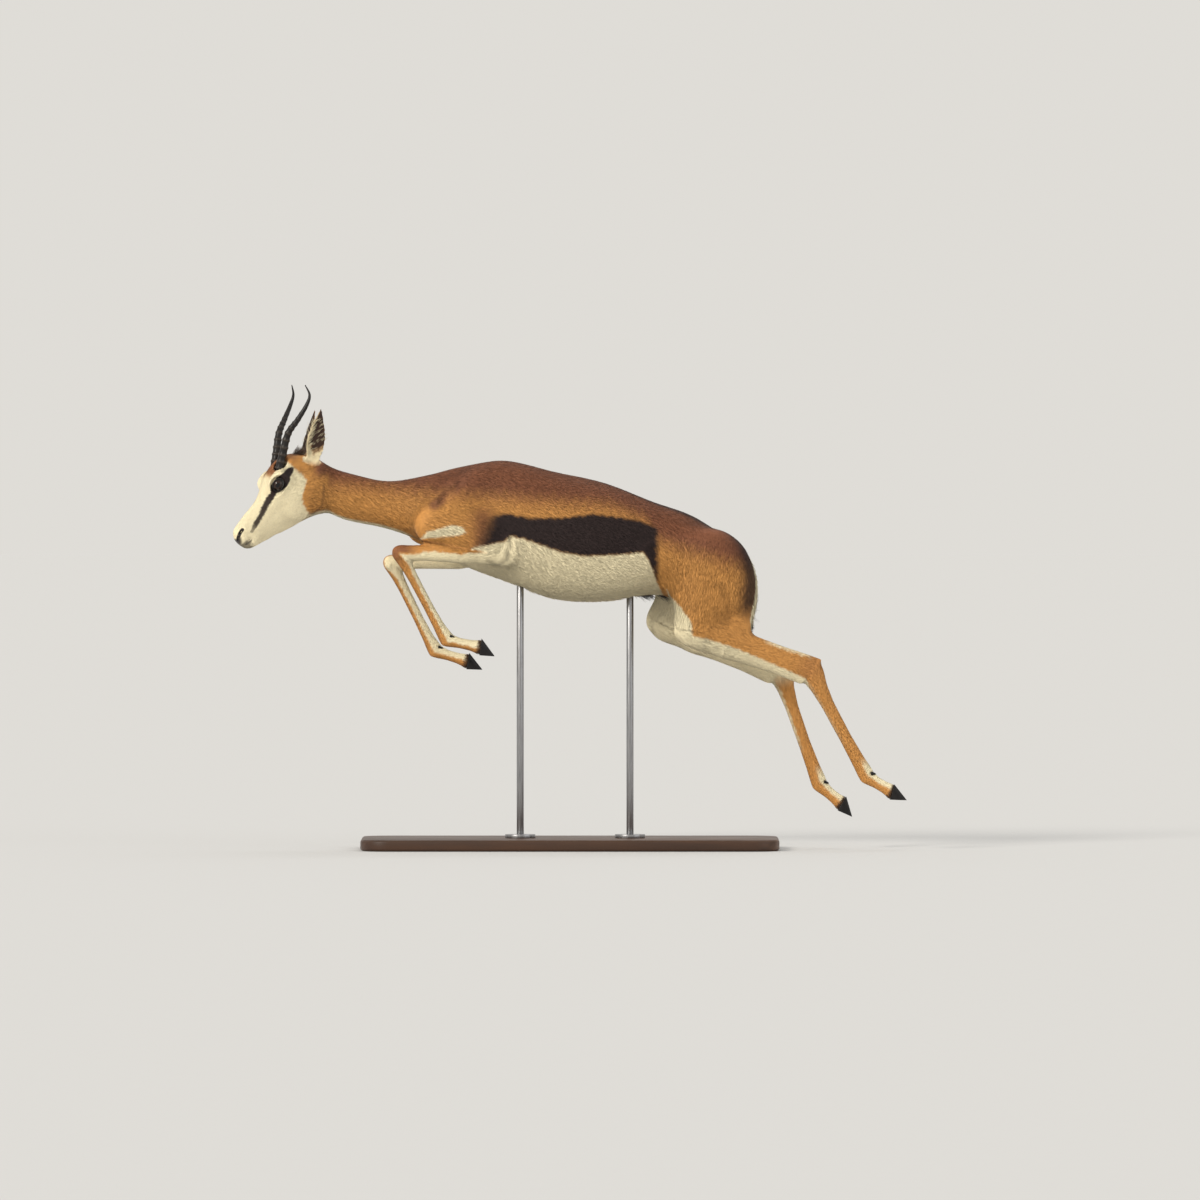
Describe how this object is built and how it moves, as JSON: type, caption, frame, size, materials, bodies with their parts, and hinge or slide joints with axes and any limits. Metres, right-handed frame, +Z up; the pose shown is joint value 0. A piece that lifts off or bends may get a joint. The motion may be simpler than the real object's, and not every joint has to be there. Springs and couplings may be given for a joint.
{
  "type": "springbok model",
  "caption": "Life-size leaping springbok with short ringed horns, forelegs folded and hind legs stretched out, on two rods over a flat base.",
  "frame": {"origin": "middle of the stand's underside", "axes": "+Z up, the head points to -X, the animal's left side faces -Y"},
  "size_m": [1.5154, 0.38, 1.0447],
  "materials": {
    "coat": "short smooth hair, cinnamon back, dark flank band, white face and belly",
    "horn": "dark ringed horn, smooth towards the tip",
    "hoof": "black horn with fine vertical grain",
    "eye": "dark brown wet gloss",
    "stand_wood": "dark oiled wood",
    "stand_steel": "brushed"
  },
  "bodies": {
    "root": {"foreleg_left_shoulder": "coat", "foreleg_left_forearm": "coat", "foreleg_left_cannon": "coat", "foreleg_left_pastern": "coat", "foreleg_left_claw_outer": "hoof", "foreleg_left_dewclaw_outer": "hoof", "foreleg_left_claw_inner": "hoof", "foreleg_left_dewclaw_inner": "hoof", "foreleg_right_shoulder": "coat", "foreleg_right_forearm": "coat", "foreleg_right_cannon": "coat", "foreleg_right_pastern": "coat", "foreleg_right_claw_inner": "hoof", "foreleg_right_dewclaw_inner": "hoof", "foreleg_right_claw_outer": "hoof", "foreleg_right_dewclaw_outer": "hoof", "hindleg_left_thigh": "coat", "hindleg_left_gaskin": "coat", "hindleg_left_cannon": "coat", "hindleg_left_pastern": "coat", "hindleg_left_claw_outer": "hoof", "hindleg_left_dewclaw_outer": "hoof", "hindleg_left_claw_inner": "hoof", "hindleg_left_dewclaw_inner": "hoof", "hindleg_right_thigh": "coat", "hindleg_right_gaskin": "coat", "hindleg_right_cannon": "coat", "hindleg_right_pastern": "coat", "hindleg_right_claw_inner": "hoof", "hindleg_right_dewclaw_inner": "hoof", "hindleg_right_claw_outer": "hoof", "hindleg_right_dewclaw_outer": "hoof", "tail": "coat", "stand_base": "stand_wood", "stand_rod_front": "stand_steel", "stand_ring_front": "stand_steel", "stand_rod_rear": "stand_steel", "stand_ring_rear": "stand_steel", "eye_left": "eye", "eye_right": "eye", "horn_left": "horn", "ear_left": "coat", "horn_right": "horn", "ear_right": "coat", "head": "coat", "neck": "coat", "torso": "coat"}
  },
  "joints": []
}
